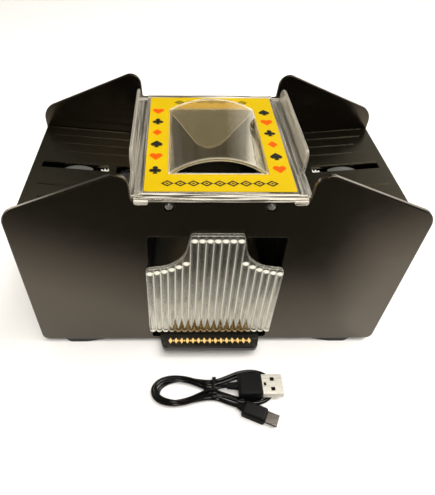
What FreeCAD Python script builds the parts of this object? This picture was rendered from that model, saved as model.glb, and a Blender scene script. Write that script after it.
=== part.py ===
"""Automatic card shuffler with two side feed trays, a clear lift-off cover, a clear
fluted card tray and its charging lead.

X runs to the right, Y to the back and Z up.  Everything is drawn with z = 0 at the
bottom edge of the two panels and y = 0 half way between them.  export() then moves it
to the part's own frame, whose origin is the middle of the machine's footprint at the
surface that it stands on.
"""
import FreeCAD, Part
import math
import os

V = FreeCAD.Vector

# ---- driving dimensions, in millimetres ------------------------------------------------
CARD_LENGTH = 88.9
HALF_WIDTH = 100.3            # panels, left and right of the middle
HALF_DEPTH = 50.0             # outer faces of the panels
PANEL = 2.4                   # panel wall
FOOT_HEIGHT = 3.5
INNER = HALF_DEPTH - PANEL    # inner faces of the panels
SADDLE_Z = 107.6              # top edge of the panels between the wings
OPENING_HALF = 34.0           # card opening in the front panel
OPENING_TOP = 85.8

END_WALL = 1.7
END_WALL_X = 99.6             # outer face of the end walls
TRAY_RIM_Z = 88.5             # top of the feed tray at its outer edge
TRAY_SLOPE = 0.09             # fall of the feed tray towards the well, per millimetre
TRAY_SKIN = 1.6
WELL_X = 34.6                 # inner faces of the card well
WELL_WALL = 1.8
COLLAR_X = 39.4               # outer faces of the collar that stops the decks
COLLAR_WALL = 1.8
COLLAR_TOP = 106.0
CARD_GAP = 1.0                # height of the slit that one card passes through

MODULE = 0.6                  # all gears
PRESSURE_ANGLE = math.radians(25)
ADDENDUM = 0.85 * MODULE
DEDENDUM = 1.1 * MODULE
BACKLASH = 0.07               # taken off each tooth at the pitch circle
SHAFT_R = 1.5
PIN_R = 1.0
RUNNING = 0.05                # radial clearance of what turns on a pin or in a bush
GEAR_Y = (4.9, 9.2)           # row of gears that shows through the slots
WHEEL_Y = (10.2, 13.2)        # motor pinion and the large wheel it drives
GEAR_PLATE_Y = (14.2, 16.2)
GEAR_COVER_Y = (2.6, 4.2)
TYRE_R = 7.6
TYRE_Y = (-10.4, 3.9)
TYRE_PROUD = 0.8              # how far the tyre stands above the feed tray

FLUTES = 19
FLUTE_PITCH = 3.7
FLUTE_R = 1.75
TALL_FLUTES = 3               # on each side of the middle one

CORD_R = 1.1
ORIGIN_Y = -5.2               # middle of the machine's footprint, front to back


# ---- helpers ---------------------------------------------------------------------------
def box(x, y, z):
    """Block between the low and high values of x, y and z."""
    size = [max(pair) - min(pair) for pair in (x, y, z)]
    return Part.makeBox(*size, V(min(x), min(y), min(z)))


def rod_x(y, z, r, x0, x1):
    return Part.makeCylinder(r, x1 - x0, V(x0, y, z), V(1, 0, 0))


def rod_y(x, z, r, y0, y1):
    return Part.makeCylinder(r, y1 - y0, V(x, y0, z), V(0, 1, 0))


def rod_z(x, y, r, z0, z1):
    return Part.makeCylinder(r, z1 - z0, V(x, y, z0), V(0, 0, 1))


def rounded_wire(corners, place):
    """Closed wire through (a, b, radius) corners; place turns (a, b) into space."""
    bends = []
    for i, (a, b, r) in enumerate(corners):
        corner = V(a, b, 0)
        before = (V(*corners[i - 1][:2], 0) - corner).normalize()
        after = (V(*corners[(i + 1) % len(corners)][:2], 0) - corner).normalize()
        if r == 0:
            bends.append((corner, None, corner))
            continue
        half = before.getAngle(after) / 2
        middle = corner + (before + after).normalize() * (r / math.sin(half) - r)
        run = r / math.tan(half)
        bends.append((corner + before * run, middle, corner + after * run))
    edges = []
    for i, (start, middle, end) in enumerate(bends):
        if middle is not None:
            edges.append(Part.Arc(place(start), place(middle), place(end)).toShape())
        following = bends[(i + 1) % len(bends)][0]
        if (following - end).Length > 1e-6:
            edges.append(Part.LineSegment(place(end), place(following)).toShape())
    return Part.Wire(edges)


def slab_x(corners, x0, x1):
    """Outline of (y, z, radius) corners, thickened along X."""
    wire = rounded_wire(corners, lambda p: V(x0, p.x, p.y))
    return Part.Face(wire).extrude(V(x1 - x0, 0, 0))


def slab_y(corners, y0, y1):
    """Outline of (x, z, radius) corners, thickened along Y."""
    wire = rounded_wire(corners, lambda p: V(p.x, y0, p.y))
    return Part.Face(wire).extrude(V(0, y1 - y0, 0))


def slab_z(corners, z0, z1):
    """Outline of (x, y, radius) corners, thickened along Z."""
    wire = rounded_wire(corners, lambda p: V(p.x, p.y, z0))
    return Part.Face(wire).extrude(V(0, 0, z1 - z0))


def both_sides(half):
    """Outline of the right half, bottom to top, closed by its mirror image."""
    return half + [(-a, b, r) for a, b, r in reversed(half)]


def rectangle(a, b, r):
    (a0, a1), (b0, b1) = a, b
    return [(a0, b0, r), (a1, b0, r), (a1, b1, r), (a0, b1, r)]


def soften(shape, radius, wanted):
    """Rounds the edges whose every vertex passes the test."""
    edges = [e for e in shape.Edges if all(wanted(v.Point) for v in e.Vertexes)]
    return shape.makeFillet(radius, edges)


def mirrored(shape):
    return shape.mirror(V(0, 0, 0), V(1, 0, 0))


def export(name, shape):
    placed = shape.copy()
    placed.translate(V(0, -ORIGIN_Y, FOOT_HEIGHT))
    placed.exportStep(f"parts/{name}.step")


def export_pair(name, shape):
    """Writes the right-hand piece and its mirror image on the left."""
    export(f"right_{name}", shape)
    export(f"left_{name}", mirrored(shape))


def tray_top(x):
    """Height of the feed tray's upper face at x on the right-hand side."""
    return TRAY_RIM_Z - TRAY_SLOPE * (END_WALL_X - x)


# ---- screws ----------------------------------------------------------------------------
HEAD_R = 1.95
HEAD_HEIGHT = 1.4
RECESS_R = 2.6
RECESS_DEPTH = 1.5
SHANK_R = 1.2
PANEL_SCREW_X = 23.2
PANEL_SCREW_Z = 103.9
POST_X = 94.4
POST_Y = 38.0
POST_R = 3.6


def cross_screw(head_r, head_height, shank_r, length, face, into):
    """Cross-head screw whose head starts at face and whose shank points along into."""
    screw = Part.makeCylinder(head_r, head_height, V(0, 0, -head_height), V(0, 0, 1))
    screw = soften(screw, 0.8 * head_height, lambda p: p.z > -1e-6)
    screw = screw.fuse(rod_z(0, 0, shank_r, -length, -head_height))
    arm = 0.62 * head_r
    depth = 0.65 * head_height
    for turn in (0, 90):
        groove = box((-arm, arm), (-0.16 * head_r, 0.16 * head_r), (-depth, 1))
        groove.rotate(V(0, 0, 0), V(0, 0, 1), turn + 45)
        screw = screw.cut(groove)
    screw.Placement = FreeCAD.Placement(face, FreeCAD.Rotation(V(0, 0, -1), into))
    return screw


def case_screw_places():
    """Outer face point and inward direction of each case screw."""
    places = []
    for side in (-1, 1):
        for back in (-1, 1):
            x, y = side * PANEL_SCREW_X, back * HALF_DEPTH
            places.append((V(x, y, PANEL_SCREW_Z), V(0, -back, 0)))
            places.append((V(side * POST_X, back * POST_Y, 0), V(0, 0, 1)))
    return places


def screw_clearance():
    """Recess and through hole of every case screw, as one cutting tool."""
    tool = None
    for face, into in case_screw_places():
        recess = Part.makeCylinder(RECESS_R, RECESS_DEPTH + 1, face - into, into)
        hole = Part.makeCylinder(SHANK_R, 12, face, into)
        tool = recess.fuse(hole) if tool is None else tool.fuse(recess).fuse(hole)
    return tool


def case_screws():
    head_sink = RECESS_DEPTH - HEAD_HEIGHT
    screws = [cross_screw(HEAD_R, HEAD_HEIGHT, SHANK_R, 8.4, face + into * head_sink, into)
              for face, into in case_screw_places()]
    return Part.makeCompound(screws)


# ---- shell -----------------------------------------------------------------------------
INLET_X = 66.0
INLET_Z = 10.4
SILL_Z = 2.4                  # bottom of the card opening, top of the base plate


def panel_blank(y_outer, y_inner):
    """Side plate with its two wings, rounded along the outer face."""
    half = [(HALF_WIDTH, 0, 4), (HALF_WIDTH, 99.8, 10), (40.9, 123.9, 6), (39.9, SADDLE_Z, 1.2)]
    blank = slab_y(both_sides(half), y_outer, y_inner)
    blank = soften(blank, 0.7, lambda p: abs(p.y - y_outer) < 1e-4)
    return soften(blank, 0.4, lambda p: abs(p.y - y_inner) < 1e-4)


def front_panel(screw_tool):
    panel = panel_blank(-HALF_DEPTH, -INNER)
    opening = rectangle((-OPENING_HALF, OPENING_HALF), (SILL_Z, OPENING_TOP), 2.0)
    return panel.cut(slab_y(opening, -HALF_DEPTH - 1, -INNER + 1)).cut(screw_tool)


def back_panel(screw_tool):
    panel = panel_blank(HALF_DEPTH, INNER)
    hole = rectangle((INLET_X - 4.2, INLET_X + 4.2), (INLET_Z - 1.9, INLET_Z + 1.9), 0.8)
    return panel.cut(slab_y(hole, INNER - 1, HALF_DEPTH + 1)).cut(screw_tool)


def base_plate(screw_tool):
    edge = END_WALL_X - END_WALL
    return box((-edge, edge), (-INNER, INNER), (0, SILL_Z)).cut(screw_tool)


def end_wall(screw_tool):
    inner = END_WALL_X - END_WALL
    wall = box((inner, END_WALL_X), (-INNER, INNER), (0, tray_top(inner) - TRAY_SKIN))
    for back in (-1, 1):
        wall = wall.fuse(rod_z(POST_X, back * POST_Y, POST_R, SILL_Z, 16))
    return wall.removeSplitter().cut(screw_tool)


def rubber_feet():
    profile = [(62.5, 0, 0), (75, -FOOT_HEIGHT, 8), (84.2, -FOOT_HEIGHT, 2.4), (87.2, 0, 0)]
    foot = slab_y(profile, -HALF_DEPTH + 0.4, -HALF_DEPTH + 14.4)
    pair = [foot, mirrored(foot)]
    return Part.makeCompound(pair + [f.mirror(V(0, 0, 0), V(0, 1, 0)) for f in pair])


# ---- feed trays and card well ----------------------------------------------------------
FEED_X = 47.5                 # axis of the feed tyre
SLOT_X = (57.6, 94.7)
SLOT_Y = (4.4, 9.7)
NOTCH_X = (41.4, 53.6)
NOTCH_Y = (-11.0, 10.8)
RIBS = [(10.7, 58.5, 94.0), (21.3, 47.5, 92.0), (30.0, 47.5, 87.0), (38.5, 47.5, 93.0),
        (46.7, 47.5, 96.0)]   # distance from the middle, inner end, outer end


def feed_tray():
    """Sloping floor with card ribs, a long gear slot and the notch for the tyre."""
    def strip(x0, x1, top, bottom):
        return [(x0, tray_top(x0) + bottom, 0), (x1, tray_top(x1) + bottom, 0),
                (x1, tray_top(x1) + top, 0), (x0, tray_top(x0) + top, 0)]

    tray = slab_y(strip(WELL_X, END_WALL_X, 0, -TRAY_SKIN), -INNER, INNER)
    for y, x0, x1 in RIBS:
        for middle in (-y, y):
            ridge = slab_y(strip(x0, x1, 0.35, -0.2), middle - 0.4, middle + 0.4)
            tray = tray.fuse(ridge)
    slot = box(SLOT_X, SLOT_Y, (70, 100))
    notch = box(NOTCH_X, NOTCH_Y, (70, 100))
    return tray.cut(slot).cut(notch).removeSplitter()


def well_wall():
    """Side of the card well, with the arm that carries the front end of the feed shaft."""
    z_top = tray_top(WELL_X) - TRAY_SKIN
    wall = box((WELL_X, WELL_X + WELL_WALL), (-INNER, INNER), (SILL_Z, z_top))
    arm = slab_y([(WELL_X, 62, 0), (56, 70, 3), (56, z_top - 0.2, 2), (WELL_X, z_top - 0.2, 0)],
                 BRACKET_Y[0], BRACKET_Y[1])
    wire_way = box((WELL_X - 1, WELL_X + 3), (30, 46), (SILL_Z - 1, 9.4))
    bush_hole = rod_y(FEED_X, FEED_Z, BUSH_R, BRACKET_Y[0] - 1, BRACKET_Y[1] + 1)
    return wall.fuse(arm).cut(wire_way).cut(bush_hole).removeSplitter()


def well_collar(screw_tool):
    """Frame around the top of the well: it stops the decks and takes the panel screws."""
    inner = COLLAR_X - COLLAR_WALL
    z_low = tray_top(COLLAR_X) + CARD_GAP
    collar = box((-COLLAR_X, COLLAR_X), (-INNER, INNER), (z_low, COLLAR_TOP))
    collar = collar.cut(box((-inner, inner), (-INNER + 5.5, INNER - 5.5), (0, 200)))
    under_rails = box((-inner, inner), (-INNER - 1, INNER + 1), (0, COLLAR_TOP - 6.5))
    return collar.cut(under_rails).cut(screw_tool)


def well_floor():
    return box((-WELL_X, WELL_X), (-INNER + 2, INNER), (9.6, 11.2))


# ---- feed drive ------------------------------------------------------------------------
FEED_Z = tray_top(FEED_X) + TYRE_PROUD - TYRE_R
BRACKET_Y = (-14.4, -12.4)
BUSH_R = 2.5
FEED_TEETH = 19
IDLER_TEETH = 22
DRIVE_TEETH = 30
SMALL_TEETH = 12              # small and large gear of the compound wheel
LARGE_TEETH = 34
PINION_TEETH = 10


def pitch_r(teeth):
    return teeth * MODULE / 2


def beyond(start, teeth_a, teeth_b, drop):
    """Centre that meshes with the gear at start, further out and lower by drop."""
    reach = pitch_r(teeth_a) + pitch_r(teeth_b)
    return (start[0] + math.sqrt(reach ** 2 - drop ** 2), start[1] - drop)


FEED_C = (FEED_X, FEED_Z)
IDLER_C = beyond(FEED_C, FEED_TEETH, IDLER_TEETH, 0.8)
DRIVE_C = beyond(IDLER_C, IDLER_TEETH, DRIVE_TEETH, 0.8)
COMPOUND_C = beyond(DRIVE_C, DRIVE_TEETH, SMALL_TEETH, 11.7)
MOTOR_DROP = 12.6
MOTOR_C = (2 * COMPOUND_C[0] - beyond(COMPOUND_C, LARGE_TEETH, PINION_TEETH, MOTOR_DROP)[0],
           COMPOUND_C[1] - MOTOR_DROP)


def mesh_phase(centre_a, teeth_a, phase_a, centre_b, teeth_b):
    """Angle of a tooth of gear b so that it meshes with gear a."""
    line = math.atan2(centre_b[1] - centre_a[1], centre_b[0] - centre_a[0])
    past_tooth = (line - phase_a) * teeth_a / (2 * math.pi)
    return line + math.pi + (past_tooth + 0.5) * 2 * math.pi / teeth_b


def gear(centre, teeth, phase, y, bore_r):
    """Involute spur gear with its axis along Y."""
    pitch = pitch_r(teeth)
    base = pitch * math.cos(PRESSURE_ANGLE)
    tip = pitch + ADDENDUM
    root = pitch - DEDENDUM

    def half_angle(r):
        """Half the angle that a tooth spans at radius r."""
        slope = math.acos(min(1, base / r))
        involute = math.tan(PRESSURE_ANGLE) - PRESSURE_ANGLE - math.tan(slope) + slope
        return (math.pi * MODULE / 2 - BACKLASH) / (2 * pitch) + involute

    def at(r, angle):
        return V(centre[0] + r * math.cos(angle), y[0], centre[1] + r * math.sin(angle))

    foot = max(root, base)
    radii = [foot + (tip - foot) * k / 3 for k in range(4)]
    step = 2 * math.pi / teeth
    edges = []
    for k in range(teeth):
        middle = phase + k * step
        rise = [at(r, middle - half_angle(r)) for r in radii]
        fall = [at(r, middle + half_angle(r)) for r in reversed(radii)]
        gap_end = at(root, middle + step - half_angle(foot))
        flank = Part.BSplineCurve()
        flank.interpolate(rise)
        edges.append(flank.toShape())
        edges.append(Part.Arc(rise[-1], at(tip, middle), fall[0]).toShape())
        flank = Part.BSplineCurve()
        flank.interpolate(fall)
        edges.append(flank.toShape())
        gap_start = at(root, middle + half_angle(foot))
        if foot > root:
            edges.append(Part.LineSegment(fall[-1], gap_start).toShape())
        edges.append(Part.Arc(gap_start, at(root, middle + step / 2), gap_end).toShape())
        if foot > root:
            next_rise = at(foot, middle + step - half_angle(foot))
            edges.append(Part.LineSegment(gap_end, next_rise).toShape())
    blank = Part.Face(Part.Wire(edges)).extrude(V(0, y[1] - y[0], 0))
    return blank.cut(rod_y(*centre, bore_r, y[0] - 1, y[1] + 1))


def hub(centre, r, bore_r, y0, y1):
    return rod_y(*centre, r, y0, y1).cut(rod_y(*centre, bore_r, y0 - 1, y1 + 1))


def lightened(wheel, centre, inner_r, outer_r, y):
    """Thins the web of a wheel on its front face."""
    pocket = hub(centre, outer_r, inner_r, y[0] - 1, y[0] + 1.2)
    return wheel.cut(pocket)


def make_gears():
    """The five turning gears of one side, in mesh, by node name."""
    idler_phase = mesh_phase(FEED_C, FEED_TEETH, 0, IDLER_C, IDLER_TEETH)
    drive_phase = mesh_phase(IDLER_C, IDLER_TEETH, idler_phase, DRIVE_C, DRIVE_TEETH)
    small_phase = mesh_phase(DRIVE_C, DRIVE_TEETH, drive_phase, COMPOUND_C, SMALL_TEETH)
    pinion_phase = mesh_phase(COMPOUND_C, LARGE_TEETH, small_phase, MOTOR_C, PINION_TEETH)
    loose = PIN_R + RUNNING
    drive = gear(DRIVE_C, DRIVE_TEETH, drive_phase, GEAR_Y, loose)
    large = gear(COMPOUND_C, LARGE_TEETH, small_phase, WHEEL_Y, loose)
    small = gear(COMPOUND_C, SMALL_TEETH, small_phase, (GEAR_Y[0], WHEEL_Y[0]), loose)
    return {
        "feed_gear": gear(FEED_C, FEED_TEETH, 0, GEAR_Y, SHAFT_R),
        "idler_gear": gear(IDLER_C, IDLER_TEETH, idler_phase, GEAR_Y, loose),
        "drive_gear": lightened(drive, DRIVE_C, 2.6, 7.0, GEAR_Y),
        "compound_gear": large.fuse(small),
        "motor_pinion": gear(MOTOR_C, PINION_TEETH, pinion_phase, WHEEL_Y, PIN_R),
    }


def feed_shaft():
    return rod_y(*FEED_C, SHAFT_R, BRACKET_Y[0] - 0.6, GEAR_PLATE_Y[1] + 0.6)


def feed_tyre():
    """Rubber tyre with shallow grip grooves across its tread."""
    tyre = hub(FEED_C, TYRE_R, SHAFT_R, *TYRE_Y)
    tyre = soften(tyre, 0.6, lambda p: math.hypot(p.x - FEED_X, p.z - FEED_Z) > TYRE_R - 0.1)
    grooves = 24
    for k in range(grooves):
        angle = 2 * math.pi * k / grooves
        x = FEED_X + (TYRE_R + 0.25) * math.cos(angle)
        z = FEED_Z + (TYRE_R + 0.25) * math.sin(angle)
        tyre = tyre.cut(rod_y(x, z, 0.6, TYRE_Y[0] - 1, TYRE_Y[1] + 1))
    return tyre


def shaft_bush(y0, y1):
    return hub(FEED_C, BUSH_R, SHAFT_R + RUNNING, y0, y1)


def gear_plate():
    """Upright plate that carries the gear pins, the rear bush and the motor."""
    inner = END_WALL_X - END_WALL
    x0 = WELL_X + WELL_WALL
    outline = [(x0, SILL_Z, 0), (inner, SILL_Z, 0), (inner, tray_top(inner) - TRAY_SKIN, 0),
               (x0, tray_top(x0) - TRAY_SKIN, 0)]
    plate = slab_y(outline, *GEAR_PLATE_Y)
    reach = (GEAR_PLATE_Y[0] - 1, GEAR_PLATE_Y[1] + 1)
    plate = plate.cut(rod_y(*FEED_C, BUSH_R, *reach)).cut(rod_y(*MOTOR_C, MOTOR_BOSS_R, *reach))
    for centre in (IDLER_C, DRIVE_C, COMPOUND_C):
        plate = plate.cut(rod_y(*centre, PIN_R, *reach))
    for side in (-1, 1):
        plate = plate.cut(rod_y(MOTOR_C[0] + side * MOTOR_SCREW_X, MOTOR_C[1], MOTOR_SCREW_R, *reach))
    wire_way = box((x0 - 1, x0 + 5.6), reach, (SILL_Z - 1, 8.4))
    return plate.cut(wire_way)


def gear_hood():
    """Low arched guard over the drive gear, just below the tray, on two legs."""
    x = DRIVE_C[0]
    y0, y1 = GEAR_COVER_Y[1], GEAR_Y[1] - 0.6
    arch_r, top = 18.0, tray_top(x) - 0.5
    arch = hub((x, top - arch_r), arch_r, arch_r - 0.7, y0, y1)
    arch = arch.common(box((x - 8.2, x + 8.4), (y0, y1), (top - 2.6, top)))
    leg = (top - 4.0, top - 1.9)
    hood = arch.fuse(box((x - 8.2, x - 7.4), (y0, y1), leg)).fuse(box((x + 7.6, x + 8.4), (y0, y1), leg))
    under_tray = tray_top(x - 8.2) - TRAY_SKIN - 0.2
    hood = hood.cut(box((x - 9, x + 9), (y0 - 1, SLOT_Y[0] + 0.2), (under_tray, top + 1)))
    return hood.fuse(box((x - 8.2, x + 8.4), GEAR_COVER_Y, (DRIVE_C[1] + 2, under_tray)))


def gear_cover():
    """Small plate in front of the gears that holds the other end of the pins."""
    outline = [(DRIVE_C[0] - 21, IDLER_C[1] - 5, 3), (COMPOUND_C[0] - 6, COMPOUND_C[1] - 5, 3),
               (COMPOUND_C[0] + 6, COMPOUND_C[1] - 5, 3), (COMPOUND_C[0] + 6, DRIVE_C[1] + 4, 3),
               (DRIVE_C[0] - 19, IDLER_C[1] + 4, 3)]
    cover = slab_y(outline, *GEAR_COVER_Y)
    for centre in (IDLER_C, DRIVE_C, COMPOUND_C):
        cover = cover.cut(rod_y(*centre, PIN_R, GEAR_COVER_Y[0] - 1, GEAR_COVER_Y[1] + 1))
    return cover.fuse(gear_hood()).removeSplitter()


def gear_pins():
    pins = [rod_y(*c, PIN_R, GEAR_COVER_Y[0], GEAR_PLATE_Y[1]) for c in (IDLER_C, DRIVE_C, COMPOUND_C)]
    return Part.makeCompound(pins + [mirrored(p) for p in pins])


# ---- motors ----------------------------------------------------------------------------
MOTOR_R = 10.0
MOTOR_FLAT = 7.55
MOTOR_LENGTH = 25.0
MOTOR_BOSS_R = 3.0
MOTOR_SCREW_X = 6.6
MOTOR_SCREW_R = 0.9
MOTOR_BORE_DEPTH = 12.0


def motor():
    """Small can motor with two flats, a front boss, a rear cap and two tags."""
    x, z = MOTOR_C
    y0 = GEAR_PLATE_Y[1]
    can = rod_y(x, z, MOTOR_R, y0, y0 + MOTOR_LENGTH)
    can = can.common(box((x - 20, x + 20), (0, 60), (z - MOTOR_FLAT, z + MOTOR_FLAT)))
    can = can.fuse(rod_y(x, z, MOTOR_BOSS_R, GEAR_PLATE_Y[0], y0))
    can = can.fuse(rod_y(x, z, 4.0, y0 + MOTOR_LENGTH, y0 + MOTOR_LENGTH + 1.8))
    for side in (-1, 1):
        tag_x = x + side * 6.5
        can = can.fuse(box((tag_x - 1.2, tag_x + 1.2), (y0 + MOTOR_LENGTH, y0 + MOTOR_LENGTH + 2.4),
                           (z - 0.25, z + 0.25)))
        can = can.cut(rod_y(x + side * MOTOR_SCREW_X, z, MOTOR_SCREW_R, y0 - 1, y0 + 3))
    return can.cut(rod_y(x, z, PIN_R + RUNNING, GEAR_PLATE_Y[0] - 1, GEAR_PLATE_Y[0] + MOTOR_BORE_DEPTH))


def motor_shaft():
    return rod_y(*MOTOR_C, PIN_R, WHEEL_Y[0], GEAR_PLATE_Y[0] + MOTOR_BORE_DEPTH - 0.6)


def motor_screws():
    screws = []
    for side in (-1, 1):
        face = V(MOTOR_C[0] + side * MOTOR_SCREW_X, GEAR_PLATE_Y[0] - 0.9, MOTOR_C[1])
        screws.append(cross_screw(1.6, 0.9, MOTOR_SCREW_R, 4.6, face, V(0, 1, 0)))
    return Part.makeCompound(screws + [mirrored(s) for s in screws])


# ---- electronics -----------------------------------------------------------------------
BOARD_Z = 7.2
BOARD_X = (44.0, 84.0)
BOARD_Y = (20.0, 45.6)
BATTERY_X = -42.4             # end of the cell that its leads come out of


def circuit_board():
    """Board on four posts, with its larger components."""
    board = box(BOARD_X, BOARD_Y, (BOARD_Z, BOARD_Z + 1.2))
    for x in (BOARD_X[0] + 2.5, BOARD_X[1] - 2.5):
        for y in (BOARD_Y[0] + 2.5, BOARD_Y[1] - 2.5):
            board = board.fuse(rod_z(x, y, 1.6, SILL_Z, BOARD_Z))
    top = BOARD_Z + 1.2
    board = board.fuse(box((52, 58), (27, 33), (top, top + 1.4)))
    board = board.fuse(rod_z(76, 28, 2.5, top, top + 7))
    board = board.fuse(rod_z(76, 34.5, 2.5, top, top + 7))
    return board.fuse(box((47, 56), (36, 41), (top, top + 3.2)))


def usb_inlet():
    """Charging socket on the board's rear edge, level with the back panel's hole."""
    shell = slab_y(rectangle((INLET_X - 3.9, INLET_X + 3.9), (INLET_Z - 1.6, INLET_Z + 1.6), 0.6),
                   43.0, HALF_DEPTH - 0.4)
    mouth = slab_y(rectangle((INLET_X - 3.5, INLET_X + 3.5), (INLET_Z - 1.2, INLET_Z + 1.2), 0.4),
                   44.2, HALF_DEPTH)
    tongue = box((INLET_X - 2.2, INLET_X + 2.2), (44.0, 48.6), (INLET_Z - 0.1, INLET_Z + 0.6))
    return shell.cut(mouth).fuse(tongue)


def battery_pack():
    pack = box((-90.4, BATTERY_X), (-45, -12), (SILL_Z + 0.8, SILL_Z + 9.8))
    return pack.makeFillet(2.2, pack.Edges)


def battery_pad():
    return box((-88, BATTERY_X - 2), (-43, -14), (SILL_Z, SILL_Z + 0.8))


def wire(points, r, bend):
    """Round wire along straight runs joined by tangent arcs of one radius."""
    stops = [V(*p) for p in points]
    edges = []
    start = stops[0]
    for before, corner, after in zip(stops, stops[1:], stops[2:]):
        back = (before - corner).normalize()
        on = (after - corner).normalize()
        half = back.getAngle(on) / 2
        run = bend / math.tan(half)
        first = corner + back * run
        last = corner + on * run
        middle = corner + (back + on).normalize() * (bend / math.sin(half) - bend)
        edges.append(Part.LineSegment(start, first).toShape())
        edges.append(Part.Arc(first, middle, last).toShape())
        start = last
    edges.append(Part.LineSegment(start, stops[-1]).toShape())
    path = Part.Wire(edges)
    section = Part.Wire(Part.Circle(stops[0], stops[1] - stops[0], r).toShape())
    return path.makePipeShell([section], True, False)


def motor_leads():
    """Two wires from each motor's tags to the board, the left pair under the well."""
    x, z = MOTOR_C
    y_tag = GEAR_PLATE_Y[1] + MOTOR_LENGTH + 2.4
    top = BOARD_Z + 1.2
    leads = []
    for k, side in enumerate((-1, 1)):
        tag = x + side * 6.5
        leads.append(wire([(tag, y_tag, z), (tag, y_tag + 2.4, z), (tag, y_tag + 2.4, 20),
                           (52 + 4 * k, 39, 18), (52 + 4 * k, 39, top + 3.2)], 0.6, 1.6))
        y = 44 - 2 * k
        leads.append(wire([(-tag, y_tag, z), (-tag, y_tag + 2.4, z), (-tag, y_tag + 2.4, 5), (-44, y, 4),
                           (38, y, 4), (41, y, BOARD_Z + 0.6), (BOARD_X[0], y, BOARD_Z + 0.6)], 0.6, 1.6))
    return Part.makeCompound(leads)


def battery_leads():
    """Two wires from the cell, along the floor and under the well, to the board."""
    leads = []
    for k in range(2):
        y = -20 + 3 * k
        far_y = 38.4 - 1.6 * k
        leads.append(wire([(BATTERY_X, y, 7), (-39.5, y, 7), (-39.5, y, 4 + 1.6 * k), (-39.5, far_y, 5),
                           (-33, far_y, 6.2), (33, far_y, 6.2), (39, 32 - 2 * k, BOARD_Z + 0.6),
                           (BOARD_X[0], 32 - 2 * k, BOARD_Z + 0.6)], 0.6, 1.3))
    return Part.makeCompound(leads)


# ---- press bar -------------------------------------------------------------------------
BAR_TOP = 8.0
BAR_FRONT_Y = -61.4
BAR_PIN_Y = -24.0
BAR_PIN_Z = 6.0
BAR_PIN_R = 1.0
BARREL_R = 2.4
SPRING_Y = -40.0
SWITCH_Y = -34.0


def press_bar():
    """Ledge that sticks out below the card tray, with the hinge barrels behind it."""
    ledge = slab_z(both_sides([(27.6, BAR_FRONT_Y, 3), (30.1, -49.5, 0), (30.1, -46.4, 0)]), 4.6, BAR_TOP)
    ledge = soften(ledge, 0.9, lambda p: p.y < -50.4 and p.z > BAR_TOP - 1e-4)
    web = box((-28, 28), (-46.4, -28), (BAR_TOP - 1.8, BAR_TOP))
    bar = ledge.fuse(web)
    for side in (-1, 1):
        span = sorted((side * 14, side * 26))
        bar = bar.fuse(rod_x(BAR_PIN_Y, BAR_PIN_Z, BARREL_R, *span))
        bar = bar.fuse(box(span, (-28.2, BAR_PIN_Y), (BAR_TOP - 1.8, BAR_TOP)))
    return bar.cut(rod_x(BAR_PIN_Y, BAR_PIN_Z, BAR_PIN_R + RUNNING, -40, 40)).removeSplitter()


def press_bar_pin():
    """Hinge pin, held in two cradles that stand on the base plate."""
    pin = rod_x(BAR_PIN_Y, BAR_PIN_Z, BAR_PIN_R, -30, 30)
    for x in (-29.5, -1.5, 26.5):
        pin = pin.fuse(box((x, x + 3), (BAR_PIN_Y - 2, BAR_PIN_Y + 2), (SILL_Z, BAR_PIN_Z + 1.6)))
    return pin.removeSplitter()


def press_bar_spring():
    """Open coil between the base plate and the bar."""
    wire_r = 0.25
    height = BAR_TOP - 1.8 - SILL_Z - 2 * wire_r
    helix = Part.makeHelix(height / 3, height, 2.6)
    section = Part.Wire(Part.Circle(V(2.6, 0, 0), V(0, 1, 0), wire_r).toShape())
    spring = Part.Wire(helix).makePipeShell([section], True, True)
    spring.translate(V(0, SPRING_Y, SILL_Z + wire_r))
    return spring


def press_switch():
    body = box((-3, 3), (SWITCH_Y - 3, SWITCH_Y + 3), (SILL_Z, SILL_Z + 2.7))
    return body.cut(rod_z(0, SWITCH_Y, 1.6, SILL_Z + 1.2, 10))


def switch_plunger():
    return rod_z(0, SWITCH_Y, 1.5, SILL_Z + 2.0, BAR_TOP - 1.8 - 0.3)


# ---- clear card tray -------------------------------------------------------------------
TRAY_FRONT_Y = -50.4
TRAY_PLATE = 1.8
TRAY_HALF = 33.4
TRAY_FLOOR_Z = 11.6
TRAY_BACK_Y = TRAY_FRONT_Y + CARD_LENGTH + 1.6
SHOULDER_TOPS = [69.0, 66.6, 64.6, 63.2, 62.2, 61.4]
TALL_TOP = 84.6


def card_tray():
    """Clear drawer: fluted front with a raised tab, floor, low sides and back."""
    half = [(35.4, 12, 2), (35.4, 64.8, 3), (16.9, 67.4, 16), (12.7, 88.7, 2)]
    y_face = TRAY_FRONT_Y - TRAY_PLATE
    tray = slab_y(both_sides(half), y_face, TRAY_FRONT_Y)
    tray = soften(tray, 0.6, lambda p: abs(p.y - y_face) < 1e-4)
    for k in range(-(FLUTES // 2), FLUTES // 2 + 1):
        past = abs(k) - TALL_FLUTES
        top = TALL_TOP if past <= 0 else SHOULDER_TOPS[past - 1]
        x = k * FLUTE_PITCH
        flute = rod_z(x, y_face, FLUTE_R, 13.0, top).fuse(Part.makeSphere(FLUTE_R, V(x, y_face, top)))
        tray = tray.fuse(flute.cut(box((-50, 50), (y_face + 1, y_face + 9), (0, 100))))
    y = (TRAY_FRONT_Y, TRAY_BACK_Y + 1.5)
    tray = tray.fuse(box((-TRAY_HALF, TRAY_HALF), y, (TRAY_FLOOR_Z, TRAY_FLOOR_Z + 1.6)))
    for side in (-1, 1):
        rail = sorted((side * (TRAY_HALF - 1.4), side * TRAY_HALF))
        tray = tray.fuse(box(rail, y, (TRAY_FLOOR_Z, 24)))
    back = (TRAY_BACK_Y, TRAY_BACK_Y + 1.5)
    tray = tray.fuse(box((-TRAY_HALF, TRAY_HALF), back, (TRAY_FLOOR_Z, 30)))
    return tray.removeSplitter()


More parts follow.
